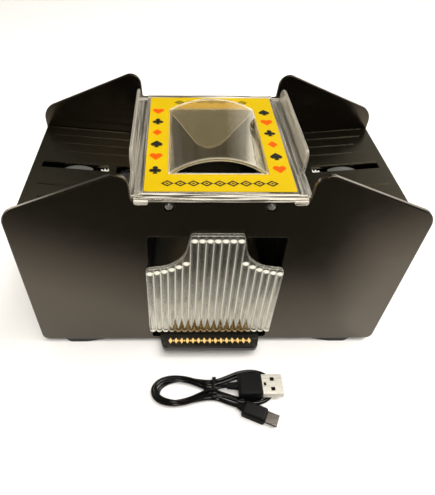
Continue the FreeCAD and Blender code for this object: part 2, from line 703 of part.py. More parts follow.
# ---- clear cover -----------------------------------------------------------------------
COVER_TOP = 109.4
COVER_LOW = 107.9
CHANNEL_LOW = 106.4
WINDOW_X = 23.8
WINDOW_Y = (-32.6, 30.0)
DOME_WALL = 1.3
DOME_FRONT_TOP = 118.2
DOME_BACK_TOP = 116.0
GUIDE_X = (40.0, 41.5)
LABEL_TOP = COVER_TOP + 0.25


def clear_cover():
    """Lift-off cover: window plate, side channels, deck guides, hooks and card tongue."""
    plate = box((-36.5, 36.5), (-50.9, 47.3), (COVER_LOW, COVER_TOP))
    plate = plate.makeFillet(0.5, [e for e in plate.Edges if e.BoundBox.ZMin > COVER_TOP - 1e-4])
    opening = (-WINDOW_X + DOME_WALL, WINDOW_X - DOME_WALL)
    plate = plate.cut(box(opening, (WINDOW_Y[0] + DOME_WALL, WINDOW_Y[1] - DOME_WALL), (100, 120)))
    side = box((35.2, 36.5), (-47.3, 47.3), (CHANNEL_LOW, COVER_LOW))
    side = side.fuse(box((36.5, GUIDE_X[1]), (-47.3, 47.3), (CHANNEL_LOW, CHANNEL_LOW + 1.4)))
    guide = [(-29, CHANNEL_LOW, 0), (41, CHANNEL_LOW, 0), (40.2, 119.5, 9), (-29.4, 119.5, 3.5)]
    side = side.fuse(soften(slab_x(guide, *GUIDE_X), 0.5, lambda p: p.z > CHANNEL_LOW + 2))
    hook = [(32.4, 106.8, 1.0), (38.6, 106.8, 1.2), (38.6, COVER_TOP, 0.6), (32.4, COVER_TOP, 0)]
    side = side.fuse(soften(slab_y(hook, -52.1, -50.4), 0.5, lambda p: p.y < -52.0))
    side = side.fuse(box((32.4, 38.6), (-51.0, -47.4), (COVER_LOW, COVER_TOP)))
    tongue = [(23.0, COVER_LOW + 0.2, 0), (-23.0, COVER_LOW + 0.2, 0), (0, 77.0, 11)]
    cover = plate.fuse(side).fuse(mirrored(side))
    cover = cover.fuse(slab_y(tongue, WINDOW_Y[1] - DOME_WALL, WINDOW_Y[1] + 0.1))
    return cover.removeSplitter()


def vault(half, front_top, back_top, y0, y1, z0):
    """Low barrel vault, lofted from its front arch to its back arch."""
    wires = []
    for y, top in ((y0, front_top), (y1, back_top)):
        arch = Part.Arc(V(-half, y, z0), V(0, y, top), V(half, y, z0)).toShape()
        wires.append(Part.Wire([arch, Part.LineSegment(V(half, y, z0), V(-half, y, z0)).toShape()]))
    return Part.makeLoft(wires, True, True)


def cover_dome():
    """Arched window: open under its front rim, closed at the back."""
    y0, y1 = WINDOW_Y
    outer = vault(WINDOW_X - 0.15, DOME_FRONT_TOP, DOME_BACK_TOP, y0 + 0.15, y1 - 0.15, COVER_TOP)
    inner = vault(WINDOW_X - 0.15 - 1.6 * DOME_WALL, DOME_FRONT_TOP - DOME_WALL, DOME_BACK_TOP - DOME_WALL,
                  y0 - 1, y1 - 0.15 - DOME_WALL, COVER_TOP)
    return outer.cut(inner)


def top_label():
    """Printed sheet around the window."""
    sheet = slab_z(rectangle((-34.5, 34.5), (-45.5, 43.3), 1.0), COVER_TOP, LABEL_TOP)
    return sheet.cut(box((-WINDOW_X, WINDOW_X), WINDOW_Y, (100, 120)))


# ---- charging lead, lying tied in front of the machine ----------------------------------
FLOOR = -FOOT_HEIGHT
A_AXIS_Y = -82.6
A_AXIS_Z = 2.2
A_BODY = (14.8, 28.0)
SMALL_BACK = V(16.6, -94.0, -0.5)
SMALL_TURN = -24.0
TIE_X = (0.5, 2.5)
BUNDLE_Y = (-87.6, -77.6)
BUNDLE_TOP = 3.4


def lead_tie():
    """Flat tie around the middle of the hank."""
    band = slab_x(rectangle((BUNDLE_Y[0] - 0.7, BUNDLE_Y[1] + 0.7), (FLOOR, BUNDLE_TOP + 0.7), 2.6), *TIE_X)
    return band.cut(slab_x(rectangle(BUNDLE_Y, (FLOOR + 0.7, BUNDLE_TOP), 2.0), 0, 3))


def small_plug_place(shape):
    shape.Placement = FreeCAD.Placement(SMALL_BACK, FreeCAD.Rotation(V(0, 0, 1), SMALL_TURN))
    return shape


def lead_hank(tie):
    """Outer shape of the tied cord: two lobes on the floor and the bundle between them."""
    left = [(-34.2, -74.6, 8.6), (-34.2, -92.4, 8.6), (-14, -92.4, 12), (2, -87, 0), (2, -78.2, 0),
            (-14, -74.6, 12)]
    right = [(2, -87.4, 0), (12, -91.4, 6), (20, -89.6, 4), (27, -91.2, 4), (36.4, -88.2, 6),
             (36.4, -69.4, 9), (20, -69.4, 9), (2, -77.8, 0)]
    hank = slab_z(left, FLOOR, FLOOR + 5.0).fuse(slab_z(right, FLOOR, FLOOR + 2.3))
    hank = hank.fuse(slab_x(rectangle(BUNDLE_Y, (FLOOR + 0.7, BUNDLE_TOP), 2.0), -5.0, 6.0))
    hank = hank.fuse(rod_x(A_AXIS_Y, A_AXIS_Z, CORD_R, 5.0, 8.6))
    arm = Part.makeCylinder(CORD_R, 12.0, V(-3.0, 0, 0), V(-1, 0, 0))
    return hank.fuse(small_plug_place(arm)).cut(tie).removeSplitter()


def usb_a_plug():
    y = (A_AXIS_Y - 6.7, A_AXIS_Y + 6.7)
    body = box(A_BODY, y, (FLOOR + 2.3, A_AXIS_Z + 3.4))
    body = soften(body, 1.3, lambda p: True)
    relief = Part.makeCone(1.7, 2.3, A_BODY[0] - 8.6, V(8.6, A_AXIS_Y, A_AXIS_Z), V(1, 0, 0))
    return body.fuse(relief)


def usb_a_shell():
    """Metal end of the large plug: open mouth, two square windows and a contact block."""
    x0, x1 = A_BODY[1], A_BODY[1] + 11.4
    y = (A_AXIS_Y - 6.0, A_AXIS_Y + 6.0)
    shell = slab_x(rectangle(y, (A_AXIS_Z - 2.25, A_AXIS_Z + 2.25), 0.5), x0, x1)
    inside = rectangle((y[0] + 0.35, y[1] - 0.35), (A_AXIS_Z - 1.9, A_AXIS_Z + 1.9), 0.3)
    shell = shell.cut(slab_x(inside, x0 + 0.5, x1 + 1))
    for side in (-1, 1):
        middle = A_AXIS_Y + side * 2.9
        shell = shell.cut(box((x0 + 4.6, x0 + 6.8), (middle - 1.1, middle + 1.1), (-9, 9)))
    shell = shell.cut(box((x0 + 0.9, x0 + 2.2), (A_AXIS_Y - 0.9, A_AXIS_Y + 0.9), (A_AXIS_Z, 9)))
    return shell.fuse(box((x0, x1 - 0.6), (y[0] + 0.6, y[1] - 0.6), (A_AXIS_Z - 1.9, A_AXIS_Z - 0.1)))


def small_plug():
    """Moulded body and strain relief of the small plug."""
    body = box((0, 13.2), (-4.1, 4.1), (-3.0, 3.0))
    body = soften(body, 1.4, lambda p: True)
    relief = Part.makeCone(1.5, 2.3, 3.4, V(-3.0, 0, 0), V(1, 0, 0))
    return small_plug_place(body.fuse(relief))


def small_shell():
    tip = slab_x([(-2.6, -0.92, 0.3), (2.6, -0.92, 0.3), (3.42, 0.0, 0.4), (3.42, 0.92, 0.3),
                  (-3.42, 0.92, 0.3), (-3.42, 0.0, 0.4)], 13.2, 19.6)
    mouth = box((16, 21), (-2.6, 2.6), (-0.55, 0.55))
    return small_plug_place(tip.cut(mouth))


# ---- write every piece -------------------------------------------------------------------
def main():
    os.makedirs("parts", exist_ok=True)
    screw_tool = screw_clearance()
    export("front_panel", front_panel(screw_tool))
    export("back_panel", back_panel(screw_tool))
    export("base_plate", base_plate(screw_tool))
    export_pair("end_wall", end_wall(screw_tool))
    export("rubber_feet", rubber_feet())
    export("case_screws", case_screws())
    export_pair("feed_tray", feed_tray())
    export_pair("well_wall", well_wall())
    export("well_collar", well_collar(screw_tool))
    export("well_floor", well_floor())
    for name, shape in make_gears().items():
        export_pair(name, shape)
    export_pair("feed_shaft", feed_shaft())
    export_pair("feed_tyre", feed_tyre())
    export_pair("gear_plate", gear_plate())
    export_pair("gear_cover", gear_cover())
    export("gear_pins", gear_pins())
    bushes = [shaft_bush(*BRACKET_Y), shaft_bush(*GEAR_PLATE_Y)]
    export("shaft_bushes", Part.makeCompound(bushes + [mirrored(b) for b in bushes]))
    export_pair("motor", motor())
    export_pair("motor_shaft", motor_shaft())
    export("motor_screws", motor_screws())
    export("circuit_board", circuit_board())
    export("usb_inlet", usb_inlet())
    export("battery_pack", battery_pack())
    export("battery_pad", battery_pad())
    export("motor_leads", motor_leads())
    export("battery_leads", battery_leads())
    export("press_bar", press_bar())
    export("press_bar_pin", press_bar_pin())
    export("press_bar_spring", press_bar_spring())
    export("press_switch", press_switch())
    export("switch_plunger", switch_plunger())
    export("card_tray", card_tray())
    export("clear_cover", clear_cover())
    export("cover_dome", cover_dome())
    export("top_label", top_label())
    tie = lead_tie()
    export("lead_tie", tie)
    export("lead_hank", lead_hank(tie))
    export("usb_a_plug", usb_a_plug())
    export("usb_a_shell", usb_a_shell())
    export("small_plug", small_plug())
    export("small_shell", small_shell())


main()
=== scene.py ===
"""Looks of the automatic card shuffler: materials, printed sheet, charging lead, studio."""
import math

import bmesh
import bpy
from mathutils import Matrix, Vector


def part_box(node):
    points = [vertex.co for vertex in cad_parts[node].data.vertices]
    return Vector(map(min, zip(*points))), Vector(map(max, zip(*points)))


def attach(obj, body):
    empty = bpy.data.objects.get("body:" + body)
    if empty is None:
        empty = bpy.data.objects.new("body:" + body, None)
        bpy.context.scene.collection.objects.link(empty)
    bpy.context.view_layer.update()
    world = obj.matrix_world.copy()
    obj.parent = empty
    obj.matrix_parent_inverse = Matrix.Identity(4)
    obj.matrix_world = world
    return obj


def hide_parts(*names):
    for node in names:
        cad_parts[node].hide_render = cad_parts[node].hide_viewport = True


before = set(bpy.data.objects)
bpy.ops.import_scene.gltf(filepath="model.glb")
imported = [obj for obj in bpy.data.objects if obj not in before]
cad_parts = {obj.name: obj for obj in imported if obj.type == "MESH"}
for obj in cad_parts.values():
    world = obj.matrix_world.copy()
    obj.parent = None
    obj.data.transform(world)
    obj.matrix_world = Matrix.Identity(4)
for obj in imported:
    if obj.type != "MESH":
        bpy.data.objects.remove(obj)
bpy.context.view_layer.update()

MM = 0.001


# ---- camera ----------------------------------------------------------------------------
CAMERA_PLACE = (-0.02003, -0.19773, 0.23545)
CAMERA_PITCH, CAMERA_YAW, CAMERA_ROLL = 45.02, 1.75, -1.3  # degrees
CAMERA_LENS = 32.34
CAMERA_SHIFT_X = 0.0647
CAMERA_NEAR = 0.01


def make_camera():
    """Looks down at the front from a little left of the middle."""
    pitch, yaw, roll = (math.radians(a) for a in (CAMERA_PITCH, CAMERA_YAW, CAMERA_ROLL))
    ahead = Vector((math.sin(yaw) * math.cos(pitch), math.cos(yaw) * math.cos(pitch),
                    -math.sin(pitch)))
    right = Vector((math.cos(yaw), -math.sin(yaw), 0))
    down = ahead.cross(right)
    turned_right = math.cos(roll) * right + math.sin(roll) * down
    turned_up = math.sin(roll) * right - math.cos(roll) * down
    axes = Matrix((turned_right, turned_up, -ahead)).transposed()
    camera = bpy.data.objects.new("camera", bpy.data.cameras.new("camera"))
    camera.data.lens = CAMERA_LENS
    camera.data.shift_x = CAMERA_SHIFT_X
    camera.data.clip_start = CAMERA_NEAR
    camera.matrix_world = Matrix.Translation(CAMERA_PLACE) @ axes.to_4x4()
    bpy.context.scene.collection.objects.link(camera)
    bpy.context.scene.camera = camera


make_camera()


# ---- charging lead ---------------------------------------------------------------------
CORD_R = 1.1 * MM
TURN_POINTS = 13
FULLNESS = 1.32    # how much wider the control points of a turn lie than the turn itself
TIE_X = 1.5
EASED_REACH = 10   # millimetres each side of the tie
EASED_PASSES = 4


def plan(x, y, z=0.0):
    """Point in metres from millimetres in the CAD frame."""
    return Vector((x * MM, y * MM, z * MM))


def lobe(start, end, tip_x, middle_y, half_width, lift, turn):
    """Control points of one teardrop turn from start round its tip at tip_x to end."""
    points = []
    for k in range(1, TURN_POINTS):
        angle = 2 * math.pi * k / TURN_POINTS
        out = (1 - math.cos(angle)) / 2
        share = k / TURN_POINTS
        near = start.lerp(end, share)
        x = near.x / MM + (tip_x - near.x / MM) * out
        y = near.y / MM * (1 - out) + middle_y * out
        y += turn * half_width * FULLNESS * math.sin(angle) * math.sqrt(out)
        z = near.z / MM * (1 - out) + lift * out
        points.append(plan(x, y, z))
    return points


def eased(points):
    """Draws out the crossings near the tie, so that no strand bends sharply there."""
    smooth = list(points)
    for i in range(2, len(points) - 3):
        if abs(points[i].x - TIE_X * MM) < EASED_REACH * MM:
            smooth[i] = (points[i - 1] + 2 * points[i] + points[i + 1]) / 4
    return smooth


def lead_route():
    """Out of the large plug, three turns left and two turns right of the tie, small plug."""
    exit_point = plan(8.6, -77.4, 5.7)
    crossings = ((-77.3, 3.9), (-74.0, 1.9), (-79.6, 3.9), (-76.2, 1.9), (-78.5, 1.9), (-80.9, 1.9))
    through_tie = [plan(TIE_X, y, z) for y, z in crossings]
    left = [(-30.4, -79.4, 6.4, 1.1, -1), (-33.4, -78.6, 8.1, 2.6, -1),
            (-32.0, -78.2, 6.7, 4.2, 1)]
    right = [(35.4, -75.6, 9.6, 1.1, 1), (33.0, -75.4, 7.4, 1.15, 1)]
    points = [exit_point, plan(5.6, -77.4, 5.2), through_tie[0]]
    for turn in range(3):
        points += lobe(through_tie[2 * turn], through_tie[2 * turn + 1], *left[turn])
        points.append(through_tie[2 * turn + 1])
        if turn < 2:
            points += lobe(through_tie[2 * turn + 1], through_tie[2 * turn + 2], *right[turn])
            points.append(through_tie[2 * turn + 2])
    points += [plan(5.4, -83.6, 1.4), plan(9.6, -85.9, 2.0), plan(13.86, -87.58, 3.0)]
    for _ in range(EASED_PASSES):
        points = eased(points)
    return points


def cord_curve(name, points, radius):
    """Round cord; the radius is held by its points, so that its bounds come out right."""
    data = bpy.data.curves.new(name, "CURVE")
    data.dimensions = "3D"
    data.bevel_depth = 1.0
    data.bevel_resolution = 5
    data.resolution_u = 6
    spline = data.splines.new("NURBS")
    spline.points.add(len(points) - 1)
    for target, point in zip(spline.points, points):
        target.co = (*point, 1)
        target.radius = radius
    spline.order_u = 3
    spline.use_endpoint_u = True
    cord = bpy.data.objects.new(name, data)
    bpy.context.scene.collection.objects.link(cord)
    return cord


lead = cord_curve("charging_lead", lead_route(), CORD_R)
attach(lead, "root")
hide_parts("lead_hank")


# ---- material helpers ------------------------------------------------------------------
BEVEL_SAMPLES = 6


class Shader:
    """One Principled material with short ways to add procedural detail."""

    def __init__(self, name, color, roughness, **sockets):
        self.material = bpy.data.materials.new(name)
        self.material.use_nodes = True
        self.nodes = self.material.node_tree.nodes
        self.links = self.material.node_tree.links
        self.surface = self.nodes["Principled BSDF"]
        self.surface.inputs["Base Color"].default_value = (*color, 1)
        self.surface.inputs["Roughness"].default_value = roughness
        for socket, value in sockets.items():
            self.surface.inputs[socket.replace("_", " ")].default_value = value
        self.place = self.nodes.new("ShaderNodeTexCoord").outputs["Object"]
        self.normal = None

    def node(self, kind, inputs=(), **settings):
        made = self.nodes.new(kind)
        for key, value in settings.items():
            setattr(made, key, value)
        for key, value in dict(inputs).items():
            if isinstance(value, bpy.types.NodeSocket):
                self.links.new(value, made.inputs[key])
            else:
                made.inputs[key].default_value = value
        return made

    def axes(self):
        """Object coordinates as three sockets."""
        return self.node("ShaderNodeSeparateXYZ", {"Vector": self.place}).outputs[:3]

    def calc(self, operation, first, second, clamp=False):
        made = self.node("ShaderNodeMath", {0: first, 1: second}, operation=operation)
        made.use_clamp = clamp
        return made.outputs[0]

    def product(self, first, *others):
        for other in others:
            first = self.calc("MULTIPLY", first, other)
        return first

    def size(self, value):
        """Value without its sign."""
        return self.calc("ABSOLUTE", value, 0.0)

    def stretched(self, scale):
        """Object coordinates in metres, scaled by a different amount along each axis."""
        inputs = {"Vector": self.place, "Scale": scale}
        return self.node("ShaderNodeMapping", inputs).outputs["Vector"]

    def noise(self, grain, detail=3.0, scale=(1, 1, 1)):
        """Noise whose blobs are about grain metres across."""
        inputs = {"Vector": self.stretched(scale), "Scale": 1 / grain, "Detail": detail}
        return self.node("ShaderNodeTexNoise", inputs).outputs["Fac"]

    def span(self, value, low, high, start=0.3, stop=0.7):
        """Maps start..stop of a value to low..high."""
        inputs = {"Value": value, "From Min": start, "From Max": stop,
                  "To Min": low, "To Max": high}
        return self.node("ShaderNodeMapRange", inputs).outputs["Result"]

    def within(self, value, rise, fall):
        """1 between the spans rise and fall, each of which is (start, stop); 0 outside."""
        return self.product(self.span(value, 0, 1, *rise), self.span(value, 1, 0, *fall))

    def mix(self, share, first, second):
        """Colour between two colours or sockets."""
        made = self.node("ShaderNodeMix", data_type="RGBA")
        sockets = made.inputs[0], made.inputs[6], made.inputs[7]
        for socket, value in zip(sockets, (share, first, second)):
            if isinstance(value, bpy.types.NodeSocket):
                self.links.new(value, socket)
            elif isinstance(value, tuple):
                socket.default_value = (*value, 1)
            else:
                socket.default_value = value
        return made.outputs[2]

    def feed(self, socket, value):
        self.links.new(value, self.surface.inputs[socket])

    def bump(self, height, distance, strength=1.0):
        inputs = {"Height": height, "Distance": distance, "Strength": strength}
        if self.normal is not None:
            inputs["Normal"] = self.normal
        self.normal = self.node("ShaderNodeBump", inputs).outputs["Normal"]
        self.feed("Normal", self.normal)

    def rounded(self, radius):
        """Normal of the surface as if its edges had a small radius."""
        made = self.node("ShaderNodeBevel", {"Radius": radius}, samples=BEVEL_SAMPLES)
        return made.outputs["Normal"]

    def round_edges(self, radius):
        self.normal = self.rounded(radius)
        self.feed("Normal", self.normal)

    def edges(self, radius, faint=0.03, full=0.22):
        """0 on open faces, 1 along edges, from how far a rounded normal leans over."""
        flat = self.node("ShaderNodeNewGeometry").outputs["Normal"]
        inputs = {0: self.rounded(radius), 1: flat}
        lean = self.node("ShaderNodeVectorMath", inputs, operation="DOT_PRODUCT")
        return self.span(lean.outputs["Value"], 1, 0, 1 - full, 1 - faint)

    def facing_up(self, low, high):
        """0 below slope low of the normal, 1 above slope high."""
        flat = self.node("ShaderNodeNewGeometry").outputs["Normal"]
        up = self.node("ShaderNodeSeparateXYZ", {"Vector": flat}).outputs["Z"]
        return self.span(up, 0, 1, low, high)


def moulded(name, color, second, roughness, grain, depth, edge=0.0, **sockets):
    """Moulded plastic: faint colour clouds, uneven gloss and a fine skin."""
    shader = Shader(name, color, roughness, **sockets)
    shader.feed("Base Color", shader.mix(shader.noise(0.02), color, second))
    shader.feed("Roughness", shader.span(shader.noise(0.006), roughness * 0.88, roughness * 1.14))
    if edge:
        shader.round_edges(edge)
    shader.bump(shader.noise(grain, 2.0), depth)
    return shader


# Tints for the reflections on the black plastics: a painted warm cast that stands in for the colour
# of the room's light.
WARM = (1.0, 0.83, 0.60, 1.0)
OLIVE = (1.0, 0.87, 0.56, 1.0)


def satin_black():
    return moulded("satin_black", (0.0022, 0.0020, 0.0016), (0.0030, 0.0027, 0.0022), 0.20,
                   0.0004, 0.000003, edge=0.0005, IOR=1.7, Specular_Tint=WARM).material


def tray_black():
    # Specular_Tint=OLIVE: painted warm cast on the tray's reflections.
    shader = moulded("tray_black", (0.0022, 0.0020, 0.0014), (0.0032, 0.0028, 0.0020), 0.22,
                     0.00035, 0.000006, edge=0.0004, IOR=1.75, Specular_Tint=OLIVE)
    shader.bump(shader.noise(0.0012, 2.0, (0.04, 1, 1)), 0.000005)
    return shader.material


def inner_black():
    return moulded("inner_black", (0.0008, 0.0008, 0.0008), (0.0016, 0.0016, 0.0014), 0.5,
                   0.0005, 0.00001, Specular_IOR_Level=0.06).material


def bar_black():
    return moulded("bar_black", (0.004, 0.004, 0.0038), (0.006, 0.006, 0.005), 0.2,
                   0.0004, 0.000004, edge=0.0004, Coat_Weight=0.3, Coat_Roughness=0.15).material


def clear(name, tint, roughness, waviness, ior=1.5):
    """Polished clear plastic with the slow waves of a moulded face; it casts a faint shadow."""
    shader = Shader(name, tint, roughness, Transmission_Weight=1.0, IOR=ior)
    shader.feed("Roughness", shader.span(shader.noise(0.004), roughness * 0.6, roughness * 1.6))
    shader.bump(shader.noise(0.009, 1.0), waviness)
    in_shadow = shader.node("ShaderNodeLightPath").outputs["Is Shadow Ray"]
    shadow_strength = 0.2
    shader.feed("Alpha", shader.span(in_shadow, 1.0, shadow_strength, 0, 1))
    return shader


def milky(shader, haze, rim_highlights, rim_highlight_share):
    """Turns part of a clear plastic milky: haze on its faces, and milky rims that are a painted
    highlight along its edges.
    """
    haze = shader.calc("ADD", haze, shader.product(rim_highlights, rim_highlight_share), clamp=True)
    shader.feed("Transmission Weight", shader.calc("SUBTRACT", 1.0, haze))


def clear_cover():
    """Clear plate and guides, with milky streaks along each border of the plate and milky rims as
    painted highlight lines; between the streaks the plate stays clear and shows the dark parts
    beneath.
    """
    shader = clear("clear_cover", (0.97, 0.93, 0.83), 0.04, 0.00006, ior=1.58)
    x, y, z = shader.axes()
    front_border, back_border = (-0.0408, -0.0402), (0.0482, 0.0488)
    plate_under, plate_over = (0.1090, 0.1095), (0.1132, 0.1140)
    guide_foot = (0.1145, 0.1150)
    tongue_side, tongue_front, tongue_back = (0.0215, 0.0225), (-0.0270, -0.0260), (0.0340, 0.0346)
    # Milky streaks along the plate's borders: painted highlight lines.
    lengthways = shader.span(shader.noise(0.0014, 1.0, (1, 0.02, 1)), 0.0, 0.17, 0.50, 0.60)
    crossways = shader.span(shader.noise(0.0010, 1.0, (0.03, 1, 1)), 0.0, 0.45, 0.53, 0.57)
    ends = shader.calc("MAXIMUM", shader.span(y, 1, 0, *front_border),
                       shader.span(y, 0, 1, *back_border))
    streak_highlights = shader.node("ShaderNodeMix", {0: ends, 2: lengthways, 3: crossways}).outputs[0]
    plate = shader.within(z, plate_under, plate_over)
    tongue = shader.product(shader.span(shader.size(x), 1, 0, *tongue_side),
                            shader.within(y, tongue_front, tongue_back))
    guides = shader.span(z, 0.0, 0.13, *guide_foot)
    clear_haze = shader.calc("MAXIMUM", shader.span(tongue, 0.02, 0.15, 0, 1), guides)
    haze = shader.calc("MAXIMUM", shader.product(streak_highlights, plate), clear_haze)
    # Milky edges of the tongue and of the whole cover: painted highlights along the edges.
    tongue_edge_highlight = shader.product(shader.edges(0.0009), tongue)
    rim_highlights = shader.product(shader.edges(0.0004), 0.22)
    milky(shader, haze, shader.calc("MAXIMUM", rim_highlights, tongue_edge_highlight), 1.0)
    return shader.material


def clear_dome():
    """Smoky warm window, faintly streaked from front to back, with its end arches and edges made
    milky white as a painted highlight.
    """
    smoke, highlight_milk = (0.95, 0.84, 0.56), (0.95, 0.94, 0.90)
    front_arch, back_arch = (-0.0262, -0.0255), (0.0336, 0.0344)
    shader = clear("clear_dome", smoke, 0.04, 0.00004)
    y = shader.axes()[1]
    ends = shader.calc("MAXIMUM", shader.span(y, 1, 0, *front_arch),
                       shader.span(y, 0, 1, *back_arch))
    haze = shader.span(shader.noise(0.0022, 3.0, (1, 0.05, 1)), 0.005, 0.025)
    # End arches and edges milky and whiter: painted highlight.
    rim_highlights = shader.calc("MAXIMUM", shader.product(ends, 0.4), shader.edges(0.0004))
    milky(shader, haze, rim_highlights, 0.4)
    shader.feed("Base Color", shader.mix(rim_highlights, smoke, highlight_milk))
    return shader.material


FLUTE_PITCH = 3.7 * MM


def clear_tray():
    """Clear drawer. Its fluted front gets painted light: a milkiness that grows towards the foot, a
    bright milky line between each two flutes, and milky domed ends and rims, all painted
    highlights; the dark bar shows through the foot in a row of points, where the gilt of its print
    is painted onto the tray as a painted view through it."""
    cream, amber, gold = (0.90, 0.885, 0.80), (0.16, 0.10, 0.035), (0.72, 0.46, 0.14)
    front_plate, fluted_face = (-0.0450, -0.0440), (-0.0471, -0.0467)
    fluted_side, above_bar = (0.021, 0.025), (0.0162, 0.0168)
    point_foot, point_slope, point_edge = 0.0192, 4.3, (-0.0006, 0.0010)
    shader = clear("clear_tray", cream, 0.07, 0.00005)
    x, y, z = shader.axes()
    beside = shader.calc("PINGPONG", x, FLUTE_PITCH / 2)
    middle = shader.span(shader.size(x), 1, 0, *fluted_side)
    front = shader.span(y, 1, 0, *front_plate)
    fluted = shader.span(y, 1, 0, *fluted_face)

    spike = shader.product(beside, point_slope, middle)
    above = shader.calc("SUBTRACT", shader.calc("SUBTRACT", z, point_foot), spike)
    foot = shader.product(shader.span(above, 1, 0, *point_edge), front,
                          shader.span(z, 0, 1, *above_bar))

    # Milk that grows towards the foot, a bright line in each groove, milky domed ends and milky
    # rims: painted highlights in the flutes.
    low = shader.span(z, 1, 0, 0.030, 0.080)
    streaks = shader.span(shader.noise(0.0008, 2.0, (1, 1, 0.06)), 0.5, 1.5)
    body = shader.product(shader.span(shader.product(low, low), 0.02, 0.42, 0, 1), streaks)
    groove = shader.span(beside, 0, 1, 0.34 * FLUTE_PITCH, 0.44 * FLUTE_PITCH)
    groove_highlight = shader.product(groove, shader.span(low, 0.30, 0.95, 0, 1), fluted)
    highlight_milk = shader.product(shader.calc("MAXIMUM", body, groove_highlight), shader.span(foot, 1.0, 0.35, 0, 1))
    ends = shader.product(shader.facing_up(0.30, 0.55), fluted, 0.8)
    rim_highlights = shader.product(shader.edges(0.0005), 0.9)
    highlight_milk = shader.calc("ADD", highlight_milk, shader.calc("MAXIMUM", ends, rim_highlights), clamp=True)
    highlight_milk = shader.product(highlight_milk, shader.span(front, 0.01, 1.0, 0, 1))
    shader.feed("Transmission Weight", shader.calc("SUBTRACT", 1.0, highlight_milk))

    # Amber and gold at the foot: a painted view of the bar's gilt print through the flutes.
    speckle = shader.span(shader.noise(0.0009, 2.0), 0, 1, 0.52, 0.60)
    painted_bar_view = shader.mix(speckle, amber, gold)
    shader.feed("Base Color", shader.mix(shader.product(foot, middle), cream, painted_bar_view))
    return shader.material


def label_yellow():
    light, deep = (0.52, 0.36, 0.004), (0.48, 0.33, 0.002)
    shader = Shader("label_yellow", (0.50, 0.345, 0.003), 0.3, Specular_IOR_Level=0.15)
    shader.feed("Base Color", shader.mix(shader.noise(0.012), light, deep))
    shader.bump(shader.noise(0.0006), 0.000004)
    return shader.material


def ink(name, color, second):
    shader = Shader(name, color, 0.35, Specular_IOR_Level=0.2)
    shader.feed("Base Color", shader.mix(shader.noise(0.0012), color, second))
    return shader.material


def rubber(name, color, second, roughness):
    shader = moulded(name, color, second, roughness, 0.0007, 0.00003, Specular_IOR_Level=0.35)
    return shader.material


def metal_shader(name, color, second, roughness, scale, metallic=1.0):
    """Metal with drawn streaks along the axis that scale leaves long."""
    shader = Shader(name, color, roughness, Metallic=metallic)
    streaks = shader.noise(0.0008, 4.0, scale)
    shader.feed("Base Color", shader.mix(streaks, color, second))
    shader.feed("Roughness", shader.span(streaks, roughness * 0.7, roughness * 1.4))
    shader.round_edges(0.0003)
    shader.bump(streaks, 0.000003)
    return shader


def metal(*settings):
    return metal_shader(*settings).material


def plug_shell():
    """Bright metal outside; its inner faces, seen through the windows and the mouth, are painted
    dark as painted shade.
    """
    low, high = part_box("usb_a_shell")
    color, second, dark = (0.86, 0.83, 0.75), (0.76, 0.73, 0.65), (0.03, 0.025, 0.02)
    skin, wall, side_skin = 0.0003, 0.0005, 0.0002
    shader = metal_shader("plug_metal", color, second, 0.3, (0.05, 1, 1), 0.45)
    y, z = shader.axes()[1:]
    # Inner faces of the shell: painted shade.
    deep = shader.within(z, (low.z + skin, low.z + wall), (high.z - wall, high.z - skin))
    middle, half_width = (low.y + high.y) / 2, (high.y - low.y) / 2
    from_middle = shader.size(shader.calc("SUBTRACT", y, middle))
    inside = shader.span(from_middle, 1, 0, half_width - wall, half_width - side_skin)
    streaks = shader.surface.inputs["Base Color"].links[0].from_socket
    shader.feed("Base Color", shader.mix(shader.product(deep, inside), streaks, dark))
    return shader.material


def circuit_green():
    shader = Shader("board_green", (0.02, 0.16, 0.06), 0.35)
    inputs = {"Vector": shader.place, "Scale": 400.0, "Color1": (0.02, 0.16, 0.06, 1),
              "Color2": (0.03, 0.20, 0.08, 1), "Mortar": (0.05, 0.28, 0.12, 1)}
    tracks = shader.node("ShaderNodeTexBrick", inputs)
    shader.feed("Base Color", tracks.outputs["Color"])
    shader.bump(tracks.outputs["Fac"], 0.00003)
    return shader.material


